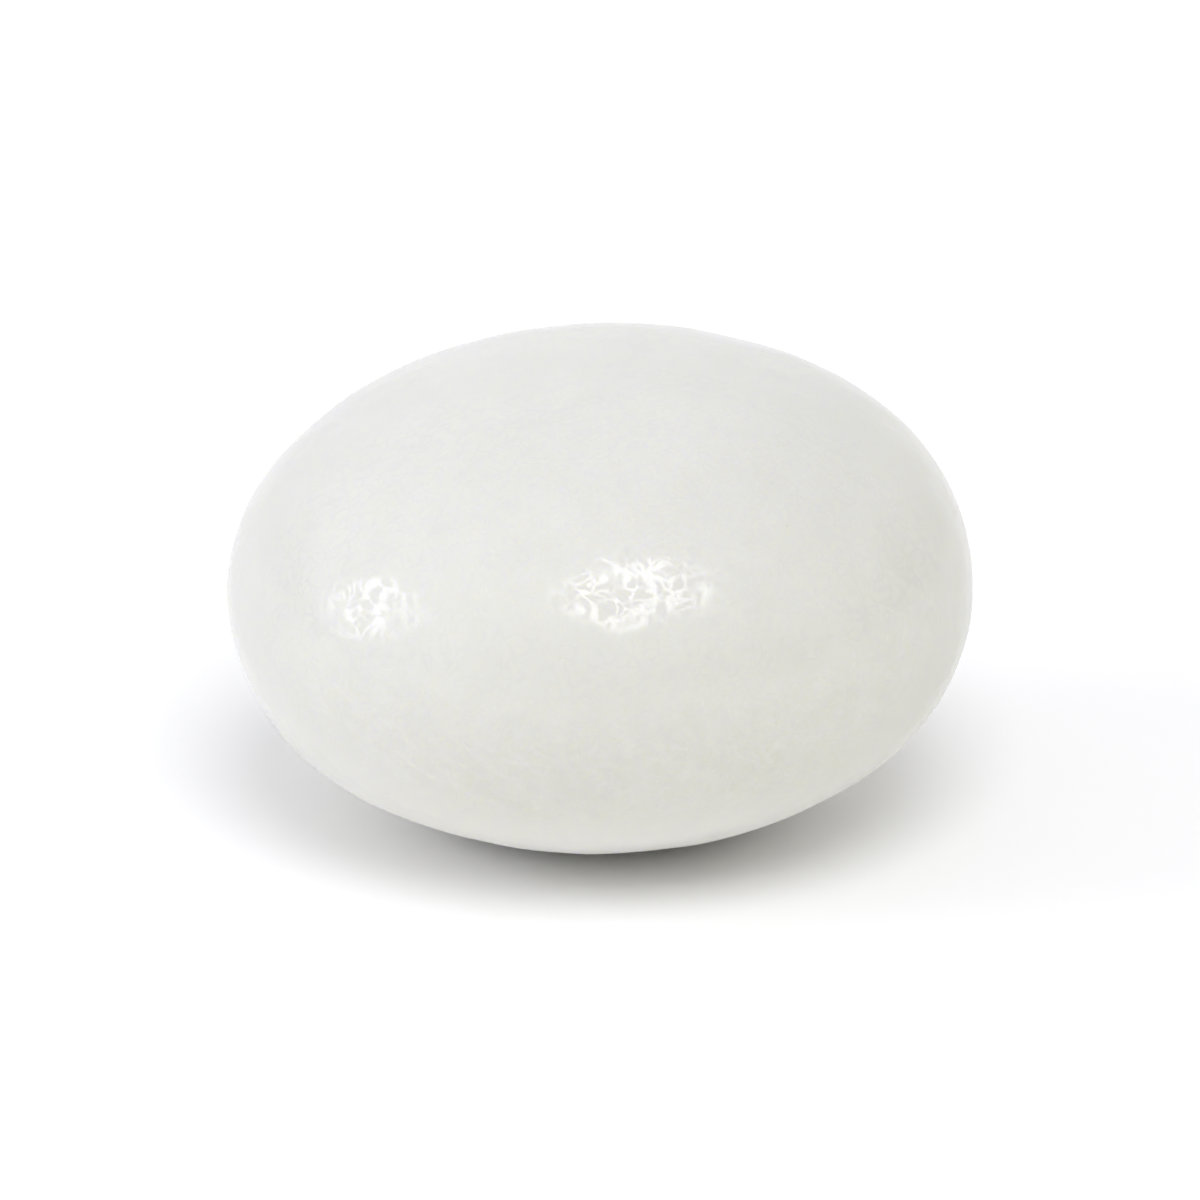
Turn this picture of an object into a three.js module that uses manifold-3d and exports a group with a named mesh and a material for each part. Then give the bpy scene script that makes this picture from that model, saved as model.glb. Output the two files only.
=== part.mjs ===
// A peppermint pastille: one sugar-shelled sweet, round in plan and thick at the middle, like a
// flattened ball. Its skin is built up layer by layer in a tumbling pan, which leaves the form a
// little uneven. It lies on a small flat spot that tumbling has worn on its belly.
//
// Millimetres, +Z up. The origin is the middle of the footprint, on the surface it lies on.
import * as THREE from "three";
import { mergeVertices } from "three/addons/utils/BufferGeometryUtils.js";
import Module from "manifold-3d";

// Overall size: diameter in plan, and thickness before the resting spot is worn off.
const DIAMETER = 18;
const THICKNESS = 11.9;

// The section is close to an ellipse. An exponent a little over 2 makes its shoulders fuller.
const SECTION_EXPONENT = 2.02;

// The rim isn't quite level: its right side, towards +X, lies a little higher than its left.
const RIM_TILT = THREE.MathUtils.degToRad(1.7);

// How much of the belly is worn off at the resting spot.
const WEAR_DEPTH = 0.1;

// Plan outline: slightly longer along X than along Y, with a trace of three corners.
const OVAL_HEIGHT = 0.05;
const OVAL_LOBES = 2;
const CORNER_HEIGHT = 0.02;
const CORNER_LOBES = 3;
const CORNER_TURN = THREE.MathUtils.degToRad(40);

// Fuller and flatter places on the shell. Each has its middle in degrees, round the plan from +X and
// up from the rim, and stands out by its height, or lies below the even shell where that is negative.
const PLACES = {
  rearRightShoulder: { around: 34, up: 32, height: 0.07 },
  rightEnd: { around: 0, up: 0, height: -0.05 },
  frontRightUnderside: { around: -21, up: -22, height: 0.06 },
  frontLeftUnderside: { around: -158, up: -22, height: 0.035 },
  besideTheFoot: { around: -129, up: -41, height: -0.035 },
  rearLeftShoulder: { around: 159, up: 22, height: -0.03 },
};
const PLACE_SPREAD = 2.2;

// Long, shallow swells all over the shell. Each is a plane wave with a heading and a start of its own.
const SWELL_COUNT = 9;
const SWELL_LENGTH = 6.5;
const SWELL_HEIGHT = 0.01;
const SWELL_TURN = Math.PI * (3 - Math.sqrt(5));
const SWELL_START_STEP = 0.7;

// Cuts along each edge of the icosahedron that the surface is drawn on, and how close two of its
// points are before they count as one.
const CUTS_PER_EDGE = 17;
const SAME_POINT = 1e-5;

// A unit direction from the centre, from its turn round the plan and its rise above the rim.
function headingAt(turn, rise) {
  const level = Math.cos(rise);
  return new THREE.Vector3(level * Math.cos(turn), level * Math.sin(turn), Math.sin(rise));
}

// The distance from the centre to an even, level shell, in a given unit direction.
function evenRadius(direction) {
  const outward = Math.hypot(direction.x, direction.y) / (DIAMETER / 2);
  const upward = Math.abs(direction.z) / (THICKNESS / 2);
  const sum = outward ** SECTION_EXPONENT + upward ** SECTION_EXPONENT;
  return sum ** (-1 / SECTION_EXPONENT);
}

// The point of the even shell in a given unit direction.
function evenPoint(direction) {
  return direction.clone().multiplyScalar(evenRadius(direction));
}

// How far the plan outline leaves a true circle. It fades to nothing towards the two faces.
function planHeight(direction) {
  const around = Math.atan2(direction.y, direction.x);
  const level = Math.hypot(direction.x, direction.y);
  const oval = Math.cos(OVAL_LOBES * around) * level ** OVAL_LOBES;
  const corners = Math.cos(CORNER_LOBES * (around - CORNER_TURN)) * level ** CORNER_LOBES;
  return OVAL_HEIGHT * oval + CORNER_HEIGHT * corners;
}

// The middle of a fuller or flatter place, as a point of the even shell.
function placeMiddle({ around, up }) {
  return evenPoint(headingAt(THREE.MathUtils.degToRad(around), THREE.MathUtils.degToRad(up)));
}

// The fuller and flatter places together, at a point of the even shell.
function placesHeight(point) {
  let height = 0;
  for (const place of Object.values(PLACES)) {
    const apart = point.distanceTo(placeMiddle(place)) / PLACE_SPREAD;
    height += place.height * Math.exp(-apart * apart);
  }
  return height;
}

// The swells together, at a point of the even shell. Their headings are spread evenly over a sphere.
function swellsHeight(point) {
  let height = 0;
  for (let i = 0; i < SWELL_COUNT; i++) {
    const heading = headingAt(i * SWELL_TURN, Math.asin(1 - (2 * i + 1) / SWELL_COUNT));
    const phase = (2 * Math.PI * point.dot(heading)) / SWELL_LENGTH + i * SWELL_START_STEP;
    height += SWELL_HEIGHT * Math.cos(phase);
  }
  return height;
}

// The whole shell round its own centre, as a closed surface of nearly equal triangles.
function makeShell() {
  const ball = new THREE.IcosahedronGeometry(1, CUTS_PER_EDGE);
  ball.deleteAttribute("normal");
  ball.deleteAttribute("uv");
  const shell = mergeVertices(ball, SAME_POINT);
  const positions = shell.getAttribute("position");
  const direction = new THREE.Vector3();
  for (let i = 0; i < positions.count; i++) {
    direction.fromBufferAttribute(positions, i).normalize();
    const point = evenPoint(direction);
    const height = planHeight(direction) + placesHeight(point) + swellsHeight(point);
    point.addScaledVector(direction, height);
    positions.setXYZ(i, point.x, point.y, point.z);
  }
  return shell;
}

// A closed geometry as a solid that can be cut.
function toSolid(wasm, geometry) {
  const plain = geometry.clone();
  plain.deleteAttribute("normal");
  plain.deleteAttribute("uv");
  const merged = mergeVertices(plain, SAME_POINT);
  return new wasm.Manifold(
    new wasm.Mesh({
      numProp: 3,
      vertProperties: new Float32Array(merged.getAttribute("position").array),
      triVerts: new Uint32Array(merged.index.array),
    }),
  );
}

// A cut solid back as a geometry to draw.
function toGeometry(solid) {
  const mesh = solid.getMesh();
  const geometry = new THREE.BufferGeometry();
  geometry.setAttribute("position", new THREE.BufferAttribute(mesh.vertProperties, 3));
  geometry.setIndex(new THREE.BufferAttribute(mesh.triVerts, 1));
  geometry.computeVertexNormals();
  return geometry;
}

// The shell tilted as it lies, with its worn spot cut flat and its footprint's middle at the origin.
function layDown(wasm, shell) {
  const laid = shell.clone().applyMatrix4(new THREE.Matrix4().makeRotationY(-RIM_TILT));
  laid.computeBoundingBox();
  const { min, max } = laid.boundingBox;
  laid.translate(-(min.x + max.x) / 2, -(min.y + max.y) / 2, -min.z - WEAR_DEPTH);
  const wear = new THREE.BoxGeometry(DIAMETER, DIAMETER, THICKNESS).translate(0, 0, -THICKNESS / 2);
  return toGeometry(toSolid(wasm, laid).subtract(toSolid(wasm, wear)));
}

const wasm = await Module();
wasm.setup();

const sugarShell = new THREE.MeshStandardMaterial({
  color: new THREE.Color(0.86, 0.855, 0.82),
  roughness: 0.35,
  metalness: 0,
});

const pastille = new THREE.Mesh(layDown(wasm, makeShell()), sugarShell);
pastille.name = "pastille";

const group = new THREE.Group();
group.add(pastille);

export default group;
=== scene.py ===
import math

import bpy
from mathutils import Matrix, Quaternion, Vector


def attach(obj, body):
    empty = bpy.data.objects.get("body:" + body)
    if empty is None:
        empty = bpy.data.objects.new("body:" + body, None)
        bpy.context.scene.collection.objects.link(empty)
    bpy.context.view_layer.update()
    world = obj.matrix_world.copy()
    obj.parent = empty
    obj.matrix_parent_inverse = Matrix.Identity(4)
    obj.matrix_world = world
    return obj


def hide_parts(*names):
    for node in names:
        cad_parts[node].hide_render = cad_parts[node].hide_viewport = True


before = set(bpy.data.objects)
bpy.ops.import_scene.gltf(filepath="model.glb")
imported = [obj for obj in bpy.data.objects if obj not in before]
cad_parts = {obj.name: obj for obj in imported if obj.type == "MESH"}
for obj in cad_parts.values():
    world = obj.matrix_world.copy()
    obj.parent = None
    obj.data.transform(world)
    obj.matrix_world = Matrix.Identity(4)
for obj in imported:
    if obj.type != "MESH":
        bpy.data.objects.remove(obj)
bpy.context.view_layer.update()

# One sugar-shelled peppermint pastille. Sizes are in metres, and MM turns millimetres into them.
MM = 0.001

# The form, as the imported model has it.
DIAMETER = 18 * MM
THICKNESS = 11.9 * MM
SECTION_EXPONENT = 2.02
RIM_TILT = math.radians(1.7)
WEAR_DEPTH = 0.1 * MM
WEAR_ROUNDING = 0.02 * MM
OVAL_LOBES = 2.0
OVAL_HEIGHT = 0.05 * MM
CORNER_LOBES = 3.0
CORNER_HEIGHT = 0.02 * MM
CORNER_TURN = math.radians(40)
PLACE_SPREAD = 2.2 * MM
SWELL_COUNT = 9
SWELL_LENGTH = 6.5 * MM
SWELL_HEIGHT = 0.01 * MM
SWELL_TURN = math.pi * (3 - math.sqrt(5))
SWELL_START_STEP = 0.7

# Fuller and flatter places: turn round the plan and rise above the rim in degrees, and height.
PLACES = {
    "rear right shoulder": (34, 32, 0.07 * MM),
    "right end": (0, 0, -0.05 * MM),
    "front right underside": (-21, -22, 0.06 * MM),
    "front left underside": (-158, -22, 0.035 * MM),
    "beside the foot": (-129, -41, -0.035 * MM),
    "rear left shoulder": (159, 22, -0.03 * MM),
}

# The skin that panning leaves: shallow ripples, then the peel, a web of low ridges round small hollows.
CUTS_PER_SIDE = 128
RIPPLE_LENGTH = 1.4 * MM
RIPPLE_HEIGHT = 0.040 * MM
RIPPLE_DETAIL = 1.0
RIPPLE_ROUGHNESS = 0.4
PEEL_PITCH = 0.36 * MM
PEEL_HEIGHT = 0.003 * MM
PEEL_WANDER = 0.75 * MM
WANDERS_PER_HOLLOW = 0.77
RIDGE_CREST = 0.02
RIDGE_SPREAD = 0.23
SEED = 1.0

# The wax polish: how much of it lies in the hollows and on the ridges, how wide its strokes are, and
# where it has gaps. Seen edge on, the ridges hide the hollows, and the gloss is even. It thins out
# towards the foot, where the shell is dry.
WAX_IOR = 1.6
WAX_ROUGHNESS = 0.18
HOLLOW_POLISH = 0.05
RIDGE_POLISH = 1.0
EDGE_ON_POLISH = 0.4
RIM_POLISH = 0.65
PATCH_SIZE = 0.55 * MM
PATCH_RANGE = (0.35, 0.65)
THIN_SPREAD = 0.14
THICK_SPREAD = 0.35
GAP_SIZE = 0.4 * MM
GAP_RANGE = (0.34, 0.60)
GAP_POLISH = 0.2
FOOT_EDGE = 0.2 * MM
UNDERSIDE_EDGE = 3.4 * MM

# How far a place is turned away from the eye, from 0 to 1, where the strokes end and where the rim starts.
STROKES_END = (0.3, 0.7)
RIM_START = (0.7, 0.9)

# The dry shell under the wax: how rough it is, its fine grain, and how far light spreads inside it, as
# shares for red, green and blue of one reach.
SHELL_IOR = 1.5
DRYNESS_SIZE = 1.75 * MM
SATIN_ROUGHNESS = 0.54
DRY_ROUGHNESS = 0.66
UNDERSIDE_ROUGHNESS = 0.95
GRAIN_SIZE = 0.16 * MM
GRAIN_ROUGHNESS = 0.6
GRAIN_HEIGHT = 0.004 * MM
GLOW_SHARES = (1.0, 1.0, 0.6)
GLOW_REACH = 2.0 * MM

# The ivory, its mottling and its pinholes. Low down, more so on the right, it turns a little creamier and
# darker: painted warm shade. The underside is paler, partly as its dry, worn foot and partly as painted
# light from below, and the ridges under the polish are painted a little paler to even out the darker lines
# that the wax's reflection draws. One cell in two or so is sound, and has no pinhole.
PALE_IVORY = (0.716, 0.714, 0.690, 1)
DEEP_IVORY = (0.689, 0.688, 0.655, 1)
WARM_SHADE_TINT = (0.987, 0.983, 0.936, 1)
WARM_SHADE_EDGE = 10 * MM
WARM_SHADE_SLANT = 0.4
WORN_AND_BOUNCE_LIT_IVORY = (0.90, 0.893, 0.845, 1)
PINHOLE_IVORY = (0.60, 0.595, 0.55, 1)
POLISH_PAINTED_LIFT = 0.25
MOTTLE_PALENESS = 0.5
MOTTLE_SIZE = 3.5 * MM
MOTTLE_SHARE = 0.7
FLECK_SIZE = 0.7 * MM
FLECK_SHARE = 0.3
PINHOLE_SPACING = 2.4 * MM
PINHOLE_SIZE = 0.09 * MM
SOUND_SHARE = 0.55

# The soft lights, which stand equally far away. Turn 0 is over the camera and 90 is at +X. Turn, rise
# and lean are in degrees, and power in watts.
LIGHT_DISTANCE = 0.6
LIGHTS = {
    "front_light": {"turn": 11.3, "rise": 56.5, "width": 0.35, "height": 0.37, "lean": 2,
                    "power": 1.48, "colour": (0.96, 0.962, 1.0)},
    "left_light": {"turn": -82.5, "rise": 21, "width": 0.34, "height": 0.31, "lean": 32,
                   "power": 1.0, "colour": (0.91, 0.92, 1.0)},
}

# The room: how bright the ceiling and each wall are, with each wall's heading. The walls give way to
# the ceiling between these two heights, from 0 at the horizon to 1 overhead.
CEILING = 0.78
WALL_TOP = (0.15, 0.5)
WALLS = {
    "back": ((0, 1, 0), 1.0),
    "front": ((0, -1, 0), 0.55),
    "left": ((-1, 0, 0), 0.01),
    "right": ((1, 0, 0), 0.10),
}

# The room's light is coolest from this heading, and warmest from the other side.
COOL_LIGHT = (0.96, 0.96, 1.0, 1)
WARM_LIGHT = (1.0, 0.99, 0.87, 1)
COOL_HEADING = (-0.3, 0.3, 0.9)

# Past the edge of the table the room's own floor looks as pale as the table, and paler towards the lights.
FAR_FLOOR = 0.795
FAR_GLOW = 0.28
GLOW_HEADING = (-1, -1, 0)
WHITE = (1, 1, 1, 1)

# The table top, which reaches this far each way.
TABLE_REACH = 1.5
TABLE_WHITE = (0.968, 0.968, 0.968, 1)
TABLE_ROUGHNESS = 0.9

# The photograph's viewpoint: how far above the table it looks from, how far off it is, how much of the
# frame's width the pastille fills, and how far under its middle the view is aimed.
VIEW_RISE = math.radians(21)
VIEW_DISTANCE = 0.9
FRAME_SHARE = 0.62
AIM_DROP = 0.4 * MM
SENSOR_WIDTH = 36
NEAREST_SEEN = 0.01
FARTHEST_SEEN = 10

# Kinds of node tree and of socket, the places of a Mix node's colours, and what a noise is like: the
# middle of its colour, and the stretch that most of it lies in.
FORM = "GeometryNodeTree"
FINISH = "ShaderNodeTree"
NUMBER = "NodeSocketFloat"
VECTOR = "NodeSocketVector"
SHAPE = "NodeSocketGeometry"
FIRST_COLOUR = 6
LAST_COLOUR = 7
MIXED_COLOUR = 2
NOISE_MIDDLE = (0.5, 0.5, 0.5)
NOISE_RANGE = (0.3, 0.7)


def put(tree, socket, value):
    """Links an output to a socket, or sets a plain value on it."""
    if isinstance(value, bpy.types.NodeSocket):
        tree.links.new(value, socket)
    else:
        socket.default_value = value


def add(tree, kind, inputs=None, **settings):
    """One node, with its settings, and its inputs by name or by place."""
    made = tree.nodes.new(kind)
    for name, value in settings.items():
        setattr(made, name, value)
    for key, value in (inputs or {}).items():
        put(tree, made.inputs[key], value)
    return made


def sums(tree, operation, *values):
    """A step of plain arithmetic."""
    return add(tree, "ShaderNodeMath", dict(enumerate(values)), operation=operation).outputs[0]


def vectors(tree, operation, *values):
    """A step of vector arithmetic. Length and dot product give a number, and the rest a vector."""
    made = add(tree, "ShaderNodeVectorMath", dict(enumerate(values)), operation=operation)
    return made.outputs[1 if operation in ("LENGTH", "DOT_PRODUCT", "DISTANCE") else 0]


def stretched(tree, vector, factor):
    """A vector times a number."""
    return add(tree, "ShaderNodeVectorMath", {0: vector, "Scale": factor}, operation="SCALE").outputs[0]


def total(tree, values):
    """The sum of several outputs."""
    running = values[0]
    for value in values[1:]:
        running = sums(tree, "ADD", running, value)
    return running


def new_group(name, kind, inputs, outputs):
    """A node group with named sockets. Each input is a name, a kind of socket and a first value."""
    group = bpy.data.node_groups.new(name, kind)
    for label, socket, value in inputs:
        made = group.interface.new_socket(label, in_out="INPUT", socket_type=socket)
        if value is not None:
            made.default_value = value
    for label, socket in outputs:
        group.interface.new_socket(label, in_out="OUTPUT", socket_type=socket)
    return group, group.nodes.new("NodeGroupInput").outputs, group.nodes.new("NodeGroupOutput").inputs


def use(tree, kind, group, inputs):
    """A node group placed in a tree."""
    made = tree.nodes.new(kind)
    made.node_tree = group
    for key, value in inputs.items():
        put(tree, made.inputs[key], value)
    return made.outputs


def heading_at(turn, rise):
    """A unit direction from the centre, from its turn round the plan and its rise above the rim."""
    level = math.cos(rise)
    return level * math.cos(turn), level * math.sin(turn), math.sin(rise)


def even_shell_group():
    """The point of an even, level shell in a unit direction from its centre."""
    tree, given, out = new_group(
        "even_shell",
        FORM,
        [("Heading", VECTOR, None), ("Diameter", NUMBER, DIAMETER), ("Thickness", NUMBER, THICKNESS),
         ("Section Exponent", NUMBER, SECTION_EXPONENT)],
        [("Point", VECTOR)],
    )
    level = vectors(tree, "LENGTH", vectors(tree, "MULTIPLY", given["Heading"], (1, 1, 0)))
    rise = vectors(tree, "LENGTH", vectors(tree, "MULTIPLY", given["Heading"], (0, 0, 1)))
    outward = sums(tree, "DIVIDE", level, sums(tree, "DIVIDE", given["Diameter"], 2.0))
    upward = sums(tree, "DIVIDE", rise, sums(tree, "DIVIDE", given["Thickness"], 2.0))
    exponent = given["Section Exponent"]
    both = sums(tree, "ADD", sums(tree, "POWER", outward, exponent), sums(tree, "POWER", upward, exponent))
    radius = sums(tree, "POWER", both, sums(tree, "DIVIDE", -1.0, exponent))
    put(tree, out["Point"], stretched(tree, given["Heading"], radius))
    return tree


def plan_outline_group():
    """How far the plan outline leaves a true circle, fading to nothing towards the two faces."""
    tree, given, out = new_group(
        "plan_outline",
        FORM,
        [("Heading", VECTOR, None), ("Oval Height", NUMBER, OVAL_HEIGHT),
         ("Corner Height", NUMBER, CORNER_HEIGHT)],
        [("Height", NUMBER)],
    )
    part = add(tree, "ShaderNodeSeparateXYZ", {0: given["Heading"]}).outputs
    around = sums(tree, "ARCTAN2", part["Y"], part["X"])
    level = vectors(tree, "LENGTH", vectors(tree, "MULTIPLY", given["Heading"], (1, 1, 0)))
    lobes = []
    oval = (OVAL_LOBES, 0.0, given["Oval Height"])
    corners = (CORNER_LOBES, CORNER_TURN, given["Corner Height"])
    for count, start, height in (oval, corners):
        turned = sums(tree, "MULTIPLY", sums(tree, "SUBTRACT", around, start), count)
        lobe = sums(tree, "MULTIPLY", sums(tree, "COSINE", turned), sums(tree, "POWER", level, count))
        lobes.append(sums(tree, "MULTIPLY", lobe, height))
    put(tree, out["Height"], total(tree, lobes))
    return tree


def places_group(even_shell):
    """The fuller and flatter places together, at a point of the even shell."""
    tree, given, out = new_group(
        "fuller_and_flatter_places",
        FORM,
        [("Point", VECTOR, None), ("Diameter", NUMBER, DIAMETER), ("Thickness", NUMBER, THICKNESS),
         ("Section Exponent", NUMBER, SECTION_EXPONENT), ("Spread", NUMBER, PLACE_SPREAD)],
        [("Height", NUMBER)],
    )
    heights = []
    for turn, rise, height in PLACES.values():
        middle = use(tree, "GeometryNodeGroup", even_shell, {
            "Heading": heading_at(math.radians(turn), math.radians(rise)),
            "Diameter": given["Diameter"],
            "Thickness": given["Thickness"],
            "Section Exponent": given["Section Exponent"],
        })["Point"]
        apart = sums(tree, "DIVIDE", vectors(tree, "DISTANCE", given["Point"], middle), given["Spread"])
        fading = sums(tree, "EXPONENT", sums(tree, "MULTIPLY", sums(tree, "MULTIPLY", apart, apart), -1.0))
        heights.append(sums(tree, "MULTIPLY", fading, height))
    put(tree, out["Height"], total(tree, heights))
    return tree


def swells_group():
    """Long, shallow swells: plane waves whose headings are spread evenly over a sphere."""
    tree, given, out = new_group(
        "swells",
        FORM,
        [("Point", VECTOR, None), ("Length", NUMBER, SWELL_LENGTH), ("Wave Height", NUMBER, SWELL_HEIGHT)],
        [("Height", NUMBER)],
    )
    waves = []
    for i in range(SWELL_COUNT):
        heading = heading_at(i * SWELL_TURN, math.asin(1 - (2 * i + 1) / SWELL_COUNT))
        along = vectors(tree, "DOT_PRODUCT", given["Point"], heading)
        travelled = sums(tree, "DIVIDE", along, given["Length"])
        phase = sums(tree, "MULTIPLY_ADD", travelled, 2 * math.pi, i * SWELL_START_STEP)
        waves.append(sums(tree, "COSINE", phase))
    put(tree, out["Height"], sums(tree, "MULTIPLY", total(tree, waves), given["Wave Height"]))
    return tree


def ripples_group():
    """Shallow ripples a millimetre or two long, at a point of the shell."""
    tree, given, out = new_group(
        "ripples",
        FORM,
        [("Point", VECTOR, None), ("Length", NUMBER, RIPPLE_LENGTH), ("Wave Height", NUMBER, RIPPLE_HEIGHT),
         ("Seed", NUMBER, SEED)],
        [("Height", NUMBER)],
    )
    swirls = add(
        tree,
        "ShaderNodeTexNoise",
        {"Vector": given["Point"], "W": given["Seed"], "Scale": sums(tree, "DIVIDE", 1.0, given["Length"]),
         "Detail": RIPPLE_DETAIL, "Roughness": RIPPLE_ROUGHNESS},
        noise_dimensions="4D",
    ).outputs[0]
    level = sums(tree, "MULTIPLY_ADD", swirls, 2.0, -1.0)
    put(tree, out["Height"], sums(tree, "MULTIPLY", level, given["Wave Height"]))
    return tree


def peel_group(kind):
    """The peel: a web of low ridges between small hollows. 1 along the ridges and 0 in the hollows."""
    tree, given, out = new_group(
        "peel",
        kind,
        [("Point", VECTOR, None), ("Pitch", NUMBER, PEEL_PITCH), ("Wander", NUMBER, PEEL_WANDER),
         ("Spread", NUMBER, RIDGE_SPREAD), ("Seed", NUMBER, SEED)],
        [("Ridge", NUMBER)],
    )
    per_hollow = sums(tree, "DIVIDE", 1.0, given["Pitch"])
    drift = add(
        tree,
        "ShaderNodeTexNoise",
        {"Vector": given["Point"], "W": given["Seed"],
         "Scale": sums(tree, "MULTIPLY", per_hollow, WANDERS_PER_HOLLOW), "Detail": 0.0},
        noise_dimensions="4D",
    ).outputs["Color"]
    either_way = vectors(tree, "SUBTRACT", drift, NOISE_MIDDLE)
    moved = vectors(tree, "ADD", given["Point"], stretched(tree, either_way, given["Wander"]))
    inwards = add(
        tree,
        "ShaderNodeTexVoronoi",
        {"Vector": moved, "Scale": per_hollow},
        voronoi_dimensions="3D",
        feature="DISTANCE_TO_EDGE",
    ).outputs["Distance"]
    ridge = add(
        tree,
        "ShaderNodeMapRange",
        {"Value": inwards, "From Min": RIDGE_CREST, "From Max": given["Spread"],
         "To Min": 1.0, "To Max": 0.0},
        interpolation_type="SMOOTHSTEP",
    ).outputs[0]
    put(tree, out["Ridge"], ridge)
    return tree


FORM_INPUTS = [
    ("Cuts Per Side", "NodeSocketInt", CUTS_PER_SIDE),
    ("Diameter", NUMBER, DIAMETER),
    ("Thickness", NUMBER, THICKNESS),
    ("Section Exponent", NUMBER, SECTION_EXPONENT),
    ("Rim Tilt", NUMBER, RIM_TILT),
    ("Wear Depth", NUMBER, WEAR_DEPTH),
    ("Oval Height", NUMBER, OVAL_HEIGHT),
    ("Corner Height", NUMBER, CORNER_HEIGHT),
    ("Place Spread", NUMBER, PLACE_SPREAD),
    ("Swell Length", NUMBER, SWELL_LENGTH),
    ("Swell Height", NUMBER, SWELL_HEIGHT),
    ("Ripple Length", NUMBER, RIPPLE_LENGTH),
    ("Ripple Height", NUMBER, RIPPLE_HEIGHT),
    ("Peel Pitch", NUMBER, PEEL_PITCH),
    ("Peel Height", NUMBER, PEEL_HEIGHT),
    ("Peel Wander", NUMBER, PEEL_WANDER),
    ("Seed", NUMBER, SEED),
]


def moved_shape(tree, shape, **where):
    """A Set Position step: position= puts the points there, and offset= moves them by that much."""
    inputs = {"Geometry": shape, **{name.capitalize(): value for name, value in where.items()}}
    return add(tree, "GeometryNodeSetPosition", inputs).outputs[0]


def pastille_form():
    """The tree that makes the whole shell, from a cube cut into squares and blown up round."""
    tree, given, out = new_group(
        "pastille_form",
        FORM,
        [("Geometry", SHAPE, None), *FORM_INPUTS, ("Shell", "NodeSocketMaterial", None)],
        [("Geometry", SHAPE)],
    )
    even_shell = even_shell_group()
    corners = sums(tree, "ADD", given["Cuts Per Side"], 1.0)
    cube = add(
        tree,
        "GeometryNodeMeshCube",
        {"Size": (2, 2, 2), "Vertices X": corners, "Vertices Y": corners, "Vertices Z": corners},
    ).outputs["Mesh"]
    place = add(tree, "GeometryNodeInputPosition").outputs[0]
    # Tangents make the squares come out nearly equal once they are blown up.
    spread = vectors(tree, "TANGENT", stretched(tree, place, math.pi / 4))
    ball = moved_shape(tree, cube, position=vectors(tree, "NORMALIZE", spread))

    even = use(tree, "GeometryNodeGroup", even_shell, {
        "Heading": place,
        "Diameter": given["Diameter"],
        "Thickness": given["Thickness"],
        "Section Exponent": given["Section Exponent"],
    })["Point"]
    outline = use(tree, "GeometryNodeGroup", plan_outline_group(), {
        "Heading": place,
        "Oval Height": given["Oval Height"],
        "Corner Height": given["Corner Height"],
    })["Height"]
    places = use(tree, "GeometryNodeGroup", places_group(even_shell), {
        "Point": even,
        "Diameter": given["Diameter"],
        "Thickness": given["Thickness"],
        "Section Exponent": given["Section Exponent"],
        "Spread": given["Place Spread"],
    })["Height"]
    swells = use(tree, "GeometryNodeGroup", swells_group(), {
        "Point": even,
        "Length": given["Swell Length"],
        "Wave Height": given["Swell Height"],
    })["Height"]
    uneven = stretched(tree, place, total(tree, [outline, places, swells]))
    shell = moved_shape(tree, ball, position=vectors(tree, "ADD", even, uneven))

    tilt = sums(tree, "MULTIPLY", given["Rim Tilt"], -1.0)
    tilted = add(
        tree,
        "ShaderNodeVectorRotate",
        {"Vector": place, "Axis": (0, 1, 0), "Angle": tilt},
        rotation_type="AXIS_ANGLE",
    ).outputs[0]
    shell = moved_shape(tree, shell, position=tilted)
    box = add(tree, "GeometryNodeBoundBox", {"Geometry": shell}).outputs
    middle = stretched(tree, vectors(tree, "ADD", box["Min"], box["Max"]), 0.5)
    foot = vectors(tree, "MULTIPLY", box["Min"], (0, 0, 1))
    footprint = vectors(tree, "ADD", vectors(tree, "MULTIPLY", middle, (1, 1, 0)), foot)
    depth = sums(tree, "MULTIPLY", given["Wear Depth"], -1.0)
    sunk = add(tree, "ShaderNodeCombineXYZ", {"Z": depth}).outputs[0]
    shell = moved_shape(tree, shell, offset=vectors(tree, "SUBTRACT", sunk, footprint))

    ripples = use(tree, "GeometryNodeGroup", ripples_group(), {
        "Point": place,
        "Length": given["Ripple Length"],
        "Wave Height": given["Ripple Height"],
        "Seed": given["Seed"],
    })["Height"]
    peel = use(tree, "GeometryNodeGroup", peel_group(FORM), {
        "Point": place,
        "Pitch": given["Peel Pitch"],
        "Wander": given["Peel Wander"],
        "Seed": given["Seed"],
    })["Ridge"]
    skin = sums(tree, "MULTIPLY_ADD", peel, given["Peel Height"], ripples)
    outward = add(tree, "GeometryNodeInputNormal").outputs[0]
    shell = moved_shape(tree, shell, offset=stretched(tree, outward, skin))

    part = add(tree, "ShaderNodeSeparateXYZ", {0: place}).outputs
    worn = sums(tree, "SMOOTH_MAX", part["Z"], 0.0, WEAR_ROUNDING)
    flat = add(tree, "ShaderNodeCombineXYZ", {"X": part["X"], "Y": part["Y"], "Z": worn}).outputs[0]
    shell = moved_shape(tree, shell, position=flat)

    smooth = add(tree, "GeometryNodeSetShadeSmooth", {"Geometry": shell}).outputs[0]
    whole = add(tree, "GeometryNodeRealizeInstances", {"Geometry": smooth}).outputs[0]
    covered = {"Geometry": whole, "Material": given["Shell"]}
    put(tree, out["Geometry"], add(tree, "GeometryNodeSetMaterial", covered).outputs[0])
    return tree


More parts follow.
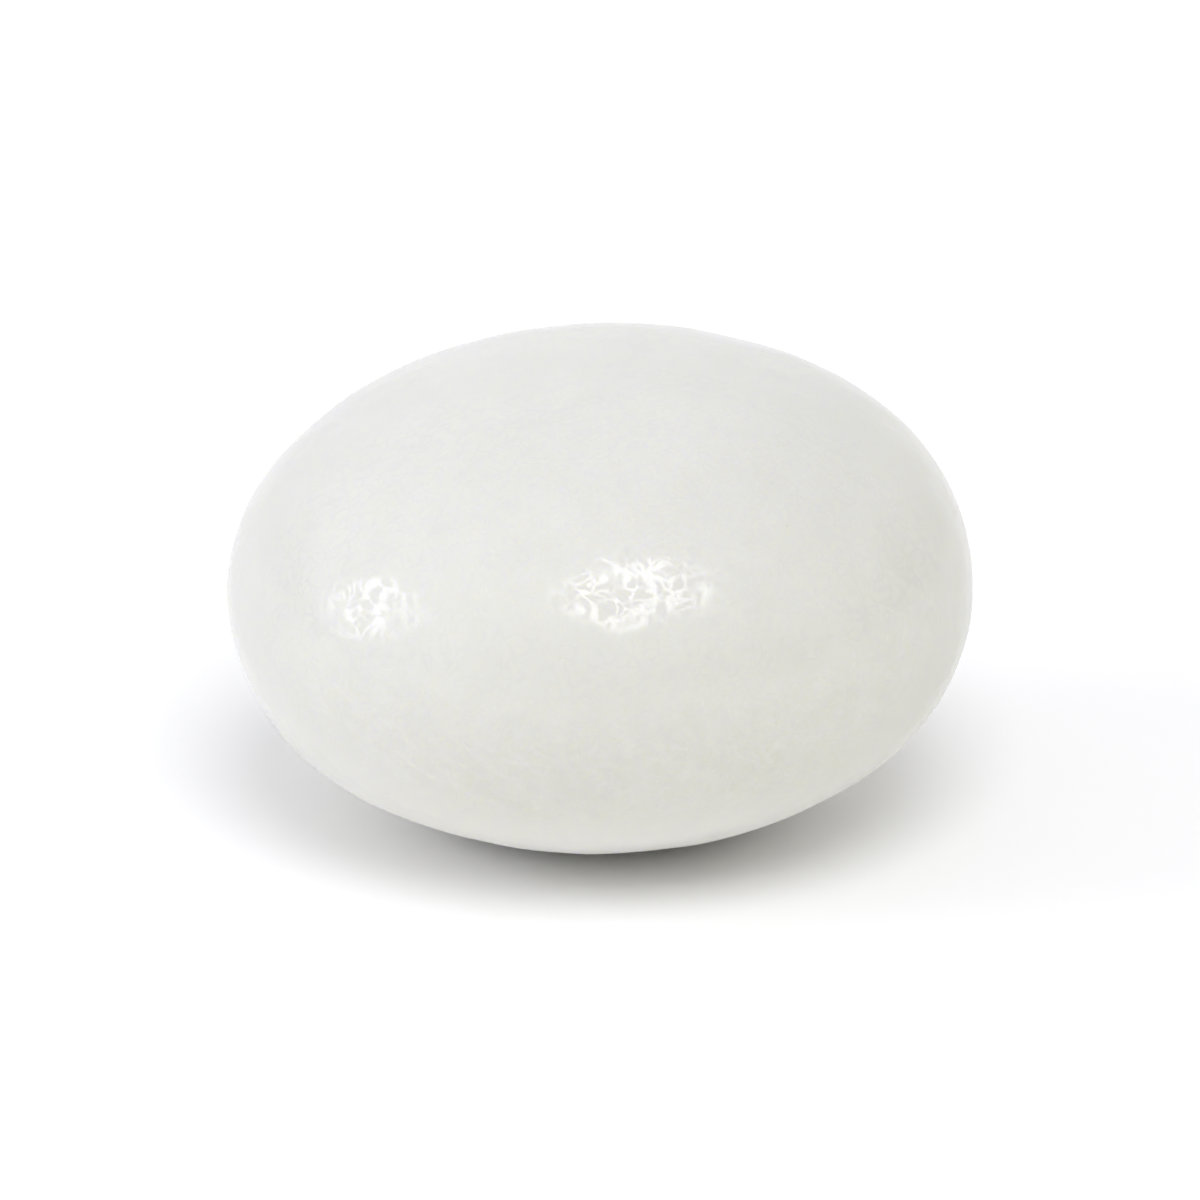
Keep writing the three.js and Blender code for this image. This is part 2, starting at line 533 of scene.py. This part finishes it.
def grown(name, form, values):
    """A plain mesh object from a form's tree, with the tree's inputs set by name."""
    seedling = bpy.data.objects.new(name + "_seedling", bpy.data.meshes.new(name + "_seedling"))
    bpy.context.collection.objects.link(seedling)
    modifier = seedling.modifiers.new("form", "NODES")
    modifier.node_group = form
    for item in form.interface.items_tree:
        if item.item_type == "SOCKET" and item.in_out == "INPUT" and item.name in values:
            modifier[item.identifier] = values[item.name]
    evaluated = seedling.evaluated_get(bpy.context.evaluated_depsgraph_get())
    mesh = bpy.data.meshes.new_from_object(evaluated)
    mesh.name = name
    bpy.data.objects.remove(seedling)
    # The tree leaves an empty material slot before its own, which is dropped here.
    own = [material for material in mesh.materials if material]
    mesh.materials.clear()
    for material in own:
        mesh.materials.append(material)
    made = bpy.data.objects.new(name, mesh)
    bpy.context.collection.objects.link(made)
    return made


def noise(tree, point, size, detail=0.0, roughness=0.5):
    """Smooth noise whose swirls are about this size. It runs from 0 to 1, mostly near 0.5."""
    return add(
        tree,
        "ShaderNodeTexNoise",
        {"Vector": point, "Scale": 1 / size, "Detail": detail, "Roughness": roughness},
    ).outputs[0]


def eased(tree, value, start, end, first=0.0, last=1.0):
    """Turns start to end into first to last, with soft ends."""
    return add(
        tree,
        "ShaderNodeMapRange",
        {"Value": value, "From Min": start, "From Max": end, "To Min": first, "To Max": last},
        interpolation_type="SMOOTHSTEP",
    ).outputs[0]


def between(tree, factor, first, last):
    """A number between two others."""
    return add(tree, "ShaderNodeMix", {"Factor": factor, "A": first, "B": last}).outputs["Result"]


def blended(tree, factor, first, last, blend_type="MIX"):
    """A colour between two others, or the first with some of the second multiplied in."""
    return add(
        tree,
        "ShaderNodeMix",
        {"Factor": factor, FIRST_COLOUR: first, LAST_COLOUR: last},
        data_type="RGBA",
        blend_type=blend_type,
    ).outputs[MIXED_COLOUR]


def polish_mask(tree, point):
    """How much wax polish lies on the shell: thin and thick strokes along the peel's ridges, with gaps."""
    spread = eased(tree, noise(tree, point, PATCH_SIZE), *PATCH_RANGE, THIN_SPREAD, THICK_SPREAD)
    ridge = use(tree, "ShaderNodeGroup", peel_group(FINISH), {
        "Point": point,
        "Pitch": PEEL_PITCH,
        "Wander": PEEL_WANDER,
        "Spread": spread,
        "Seed": SEED,
    })["Ridge"]
    kept = eased(tree, noise(tree, point, GAP_SIZE, detail=1.0), *GAP_RANGE, GAP_POLISH, 1.0)
    return sums(tree, "MULTIPLY", ridge, kept)


def ivory_tone(tree, point, polish):
    """The ivory: faintly mottled, paler under the polish as painted light, with a few tiny pinholes."""
    broad = noise(tree, point, MOTTLE_SIZE, detail=2.0)
    fine = noise(tree, point, FLECK_SIZE, detail=1.0)
    flecks = sums(tree, "MULTIPLY", fine, FLECK_SHARE)
    mottle = sums(tree, "MULTIPLY_ADD", broad, MOTTLE_SHARE, flecks)
    paler = eased(tree, mottle, *NOISE_RANGE, 0.0, MOTTLE_PALENESS)
    # The polish's share of the paleness is painted light, evening out the darker lines the wax's reflection
    # draws.
    paleness = sums(tree, "MULTIPLY_ADD", polish, POLISH_PAINTED_LIFT, paler)
    ivory = blended(tree, paleness, DEEP_IVORY, PALE_IVORY)
    cell = add(
        tree,
        "ShaderNodeTexVoronoi",
        {"Vector": point, "Scale": 1 / PINHOLE_SPACING},
        voronoi_dimensions="3D",
    ).outputs
    hole = eased(tree, cell["Distance"], PINHOLE_SIZE / PINHOLE_SPACING, 0.0)
    chance = add(tree, "ShaderNodeSeparateXYZ", {0: cell["Color"]}).outputs["X"]
    chosen = sums(tree, "GREATER_THAN", chance, SOUND_SHARE)
    return blended(tree, sums(tree, "MULTIPLY", hole, chosen), ivory, PINHOLE_IVORY)


def sugar_shell():
    """The satin ivory shell: soft light from inside it, and a thin wax polish over it."""
    material = bpy.data.materials.new("polished_sugar")
    material.use_nodes = True
    tree = material.node_tree
    shader = tree.nodes["Principled BSDF"]
    for name, value in {
        "IOR": SHELL_IOR,
        "Subsurface Weight": 1.0,
        "Subsurface Radius": GLOW_SHARES,
        "Subsurface Scale": GLOW_REACH,
        "Coat Roughness": WAX_ROUGHNESS,
        "Coat IOR": WAX_IOR,
    }.items():
        shader.inputs[name].default_value = value
    point = add(tree, "ShaderNodeTexCoord").outputs["Object"]
    polish = polish_mask(tree, point)
    wax = add(
        tree,
        "ShaderNodeMapRange",
        {"Value": polish, "To Min": HOLLOW_POLISH, "To Max": RIDGE_POLISH},
    ).outputs[0]
    turned_away = add(tree, "ShaderNodeLayerWeight", {"Blend": 0.5}).outputs["Facing"]
    even = eased(tree, turned_away, *RIM_START, EDGE_ON_POLISH, RIM_POLISH)
    gloss = between(tree, eased(tree, turned_away, *STROKES_END), wax, even)
    part = add(tree, "ShaderNodeSeparateXYZ", {0: point}).outputs
    above_underside = eased(tree, part["Z"], FOOT_EDGE, UNDERSIDE_EDGE)
    put(tree, shader.inputs["Coat Weight"], sums(tree, "MULTIPLY", gloss, above_underside))
    # Painted warm shade: the ivory turns creamier and a little darker low down, more so on the right.
    slanted = sums(tree, "MULTIPLY_ADD", part["X"], -WARM_SHADE_SLANT, part["Z"])
    low_down = eased(tree, slanted, WARM_SHADE_EDGE, FOOT_EDGE)
    warm_shaded = blended(tree, low_down, ivory_tone(tree, point, polish), WARM_SHADE_TINT, blend_type="MULTIPLY")
    # The paler underside is partly its dry, worn foot and partly painted light from below.
    put(tree, shader.inputs["Base Color"], blended(tree, above_underside, WORN_AND_BOUNCE_LIT_IVORY, warm_shaded))
    dryness = noise(tree, point, DRYNESS_SIZE, detail=2.0)
    roughness = eased(tree, dryness, *NOISE_RANGE, SATIN_ROUGHNESS, DRY_ROUGHNESS)
    put(tree, shader.inputs["Roughness"], between(tree, above_underside, UNDERSIDE_ROUGHNESS, roughness))
    grain = noise(tree, point, GRAIN_SIZE, detail=2.0, roughness=GRAIN_ROUGHNESS)
    bumps = {"Height": grain, "Distance": GRAIN_HEIGHT, "Strength": 1.0}
    put(tree, shader.inputs["Normal"], add(tree, "ShaderNodeBump", bumps).outputs[0])
    return material


def plain_floor():
    """A plain pale table top, as a single large square."""
    reach = TABLE_REACH
    corners = [(-reach, -reach, 0), (reach, -reach, 0), (reach, reach, 0), (-reach, reach, 0)]
    mesh = bpy.data.meshes.new("floor")
    mesh.from_pydata(corners, [], [(0, 1, 2, 3)])
    floor = bpy.data.objects.new("floor", mesh)
    bpy.context.collection.objects.link(floor)
    material = bpy.data.materials.new("pale_floor")
    material.use_nodes = True
    shader = material.node_tree.nodes["Principled BSDF"]
    shader.inputs["Base Color"].default_value = TABLE_WHITE
    shader.inputs["Roughness"].default_value = TABLE_ROUGHNESS
    shader.inputs["Specular IOR Level"].default_value = 0.0
    mesh.materials.append(material)
    return floor


def soft_light(name, turn, rise, width, height, lean, power, colour):
    """An oval soft light that faces the pastille, leaning this many degrees to one side."""
    data = bpy.data.lights.new(name, "AREA")
    data.shape = "ELLIPSE"
    data.size = width
    data.size_y = height
    data.energy = power
    data.color = colour
    light = bpy.data.objects.new(name, data)
    bpy.context.collection.objects.link(light)
    turn, rise = math.radians(turn), math.radians(rise)
    towards = Vector((math.sin(turn) * math.cos(rise), -math.cos(turn) * math.cos(rise), math.sin(rise)))
    middle = Vector((0, 0, THICKNESS / 2))
    light.location = middle + towards * LIGHT_DISTANCE
    light.rotation_mode = "QUATERNION"
    light.rotation_quaternion = towards.to_track_quat("Z", "Y") @ Quaternion((0, 0, 1), math.radians(lean))


def surroundings():
    """A pale room, evenly lit overhead. Its back wall is bright, its front one less so, its sides dark."""
    world = bpy.data.worlds.new("surroundings")
    world.use_nodes = True
    tree = world.node_tree
    direction = add(tree, "ShaderNodeTexCoord").outputs["Generated"]
    rise = add(tree, "ShaderNodeSeparateXYZ", {0: direction}).outputs["Z"]
    low_down = eased(tree, rise, *WALL_TOP, 1.0, 0.0)
    lit = []
    for heading, brightness in WALLS.values():
        towards = sums(tree, "MAXIMUM", vectors(tree, "DOT_PRODUCT", direction, heading), 0.0)
        lit.append(sums(tree, "MULTIPLY", sums(tree, "MULTIPLY", towards, towards), brightness))
    above = sums(tree, "MULTIPLY", sums(tree, "SUBTRACT", total(tree, lit), CEILING), low_down)
    coolness = vectors(tree, "DOT_PRODUCT", direction, COOL_HEADING)
    tint = blended(tree, sums(tree, "MULTIPLY_ADD", coolness, 0.5, 0.5), WARM_LIGHT, COOL_LIGHT)
    below = sums(tree, "LESS_THAN", rise, 0.0)
    room = sums(tree, "ADD", above, CEILING)
    near_lights = sums(tree, "MAXIMUM", vectors(tree, "DOT_PRODUCT", direction, GLOW_HEADING), 0.0)
    far_floor = sums(tree, "MULTIPLY_ADD", near_lights, FAR_GLOW, FAR_FLOOR)
    background = tree.nodes["Background"].inputs
    put(tree, background["Color"], blended(tree, below, tint, WHITE))
    put(tree, background["Strength"], between(tree, below, room, far_floor))
    bpy.context.scene.world = world


def studio():
    """The surroundings and the soft lights."""
    surroundings()
    for name, setting in LIGHTS.items():
        soft_light(name, **setting)


def camera():
    """The photograph's viewpoint: low, from the front, and from far enough to look nearly flat."""
    data = bpy.data.cameras.new("camera")
    data.sensor_width = SENSOR_WIDTH
    data.clip_start = NEAREST_SEEN
    data.clip_end = FARTHEST_SEEN
    frame_width = DIAMETER / FRAME_SHARE
    data.lens = SENSOR_WIDTH * VIEW_DISTANCE / frame_width
    made = bpy.data.objects.new("camera", data)
    bpy.context.collection.objects.link(made)
    back = Vector((0, -math.cos(VIEW_RISE), math.sin(VIEW_RISE)))
    made.location = Vector((0, 0, THICKNESS / 2 - AIM_DROP)) + back * VIEW_DISTANCE
    made.rotation_mode = "QUATERNION"
    made.rotation_quaternion = back.to_track_quat("Z", "Y")
    bpy.context.scene.camera = made


camera()
studio()
plain_floor()

pastille = grown("pastille_shell", pastille_form(), {
    **{name: value for name, _, value in FORM_INPUTS},
    "Shell": sugar_shell(),
})
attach(pastille, "root")
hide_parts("pastille")

bpy.context.scene.view_settings.view_transform = "Standard"
